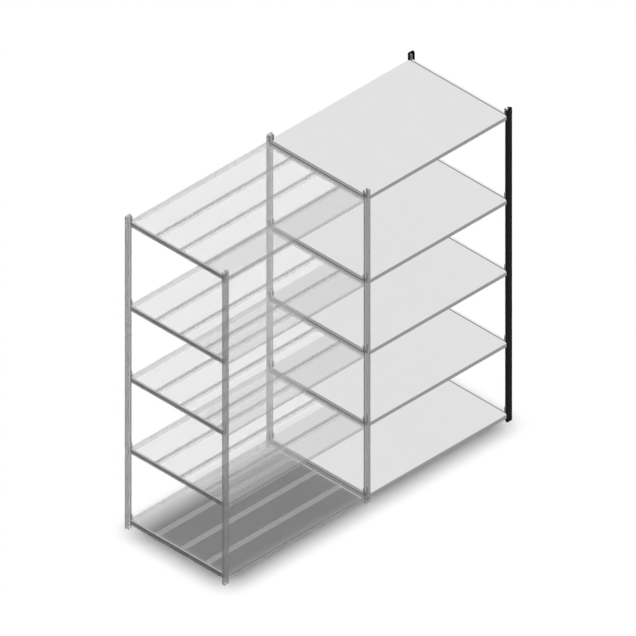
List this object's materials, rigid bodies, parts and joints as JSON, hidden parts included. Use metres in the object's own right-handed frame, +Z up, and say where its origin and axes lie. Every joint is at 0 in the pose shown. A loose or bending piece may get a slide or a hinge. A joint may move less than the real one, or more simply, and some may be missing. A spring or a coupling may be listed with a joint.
{
  "type": "shelving unit",
  "caption": "Free-standing steel shelving run: slotted T-section uprights, hook-in side beams and loose steel shelf panels with turned-down edges",
  "frame": {"origin": "On the floor under the middle of the run, midway between front and rear uprights", "axes": "+X along the run to the right as seen from the front, +Y from front to rear, +Z up"},
  "size_m": [2.611, 0.903, 2.45],
  "materials": {
    "light_grey_paint": "satin powder coat",
    "blue_black_paint": "satin powder coat",
    "clear_light_grey_paint": null,
    "clear_blue_black_paint": null
  },
  "bodies": {
    "frame": {"upright_front_left": "clear_blue_black_paint", "upright_front_middle": "clear_blue_black_paint", "upright_front_right": "blue_black_paint", "upright_rear_left": "clear_blue_black_paint", "upright_rear_middle": "clear_blue_black_paint", "upright_rear_right": "blue_black_paint", "left_bay_left_beam_1": "clear_light_grey_paint", "left_bay_left_beam_2": "clear_light_grey_paint", "left_bay_left_beam_3": "clear_light_grey_paint", "left_bay_left_beam_4": "clear_light_grey_paint", "left_bay_left_beam_5": "clear_light_grey_paint", "left_bay_right_beam_1": "clear_light_grey_paint", "left_bay_right_beam_2": "clear_light_grey_paint", "left_bay_right_beam_3": "clear_light_grey_paint", "left_bay_right_beam_4": "clear_light_grey_paint", "left_bay_right_beam_5": "clear_light_grey_paint", "right_bay_left_beam_1": "light_grey_paint", "right_bay_left_beam_2": "light_grey_paint", "right_bay_left_beam_3": "light_grey_paint", "right_bay_left_beam_4": "light_grey_paint", "right_bay_left_beam_5": "light_grey_paint", "right_bay_right_beam_1": "light_grey_paint", "right_bay_right_beam_2": "light_grey_paint", "right_bay_right_beam_3": "light_grey_paint", "right_bay_right_beam_4": "light_grey_paint", "right_bay_right_beam_5": "light_grey_paint"},
    "left_shelf_1": {"left_bay_shelf_1_front_panel": "clear_light_grey_paint", "left_bay_shelf_1_middle_panels": "clear_light_grey_paint", "left_bay_shelf_1_rear_panel": "clear_light_grey_paint"},
    "left_shelf_2": {"left_bay_shelf_2_front_panel": "clear_light_grey_paint", "left_bay_shelf_2_middle_panels": "clear_light_grey_paint", "left_bay_shelf_2_rear_panel": "clear_light_grey_paint"},
    "left_shelf_3": {"left_bay_shelf_3_front_panel": "clear_light_grey_paint", "left_bay_shelf_3_middle_panels": "clear_light_grey_paint", "left_bay_shelf_3_rear_panel": "clear_light_grey_paint"},
    "left_shelf_4": {"left_bay_shelf_4_front_panel": "clear_light_grey_paint", "left_bay_shelf_4_middle_panels": "clear_light_grey_paint", "left_bay_shelf_4_rear_panel": "clear_light_grey_paint"},
    "left_shelf_5": {"left_bay_shelf_5_front_panel": "clear_light_grey_paint", "left_bay_shelf_5_middle_panels": "clear_light_grey_paint", "left_bay_shelf_5_rear_panel": "clear_light_grey_paint"},
    "right_shelf_1": {"right_bay_shelf_1_front_panel": "light_grey_paint", "right_bay_shelf_1_middle_panels": "light_grey_paint", "right_bay_shelf_1_rear_panel": "light_grey_paint"},
    "right_shelf_2": {"right_bay_shelf_2_front_panel": "light_grey_paint", "right_bay_shelf_2_middle_panels": "light_grey_paint", "right_bay_shelf_2_rear_panel": "light_grey_paint"},
    "right_shelf_3": {"right_bay_shelf_3_front_panel": "light_grey_paint", "right_bay_shelf_3_middle_panels": "light_grey_paint", "right_bay_shelf_3_rear_panel": "light_grey_paint"},
    "right_shelf_4": {"right_bay_shelf_4_front_panel": "light_grey_paint", "right_bay_shelf_4_middle_panels": "light_grey_paint", "right_bay_shelf_4_rear_panel": "light_grey_paint"},
    "right_shelf_5": {"right_bay_shelf_5_front_panel": "light_grey_paint", "right_bay_shelf_5_middle_panels": "light_grey_paint", "right_bay_shelf_5_rear_panel": "light_grey_paint"}
  },
  "joints": [
    {"name": "lift_left_shelf_1", "type": "slide", "parent": "frame", "child": "left_shelf_1", "axis": [0, 0, 1], "range_m": [0, 0.1]},
    {"name": "lift_left_shelf_2", "type": "slide", "parent": "frame", "child": "left_shelf_2", "axis": [0, 0, 1], "range_m": [0, 0.1]},
    {"name": "lift_left_shelf_3", "type": "slide", "parent": "frame", "child": "left_shelf_3", "axis": [0, 0, 1], "range_m": [0, 0.1]},
    {"name": "lift_left_shelf_4", "type": "slide", "parent": "frame", "child": "left_shelf_4", "axis": [0, 0, 1], "range_m": [0, 0.1]},
    {"name": "lift_left_shelf_5", "type": "slide", "parent": "frame", "child": "left_shelf_5", "axis": [0, 0, 1], "range_m": [0, 0.1]},
    {"name": "lift_right_shelf_1", "type": "slide", "parent": "frame", "child": "right_shelf_1", "axis": [0, 0, 1], "range_m": [0, 0.1]},
    {"name": "lift_right_shelf_2", "type": "slide", "parent": "frame", "child": "right_shelf_2", "axis": [0, 0, 1], "range_m": [0, 0.1]},
    {"name": "lift_right_shelf_3", "type": "slide", "parent": "frame", "child": "right_shelf_3", "axis": [0, 0, 1], "range_m": [0, 0.1]},
    {"name": "lift_right_shelf_4", "type": "slide", "parent": "frame", "child": "right_shelf_4", "axis": [0, 0, 1], "range_m": [0, 0.1]},
    {"name": "lift_right_shelf_5", "type": "slide", "parent": "frame", "child": "right_shelf_5", "axis": [0, 0, 1], "range_m": [0, 0.1]}
  ]
}
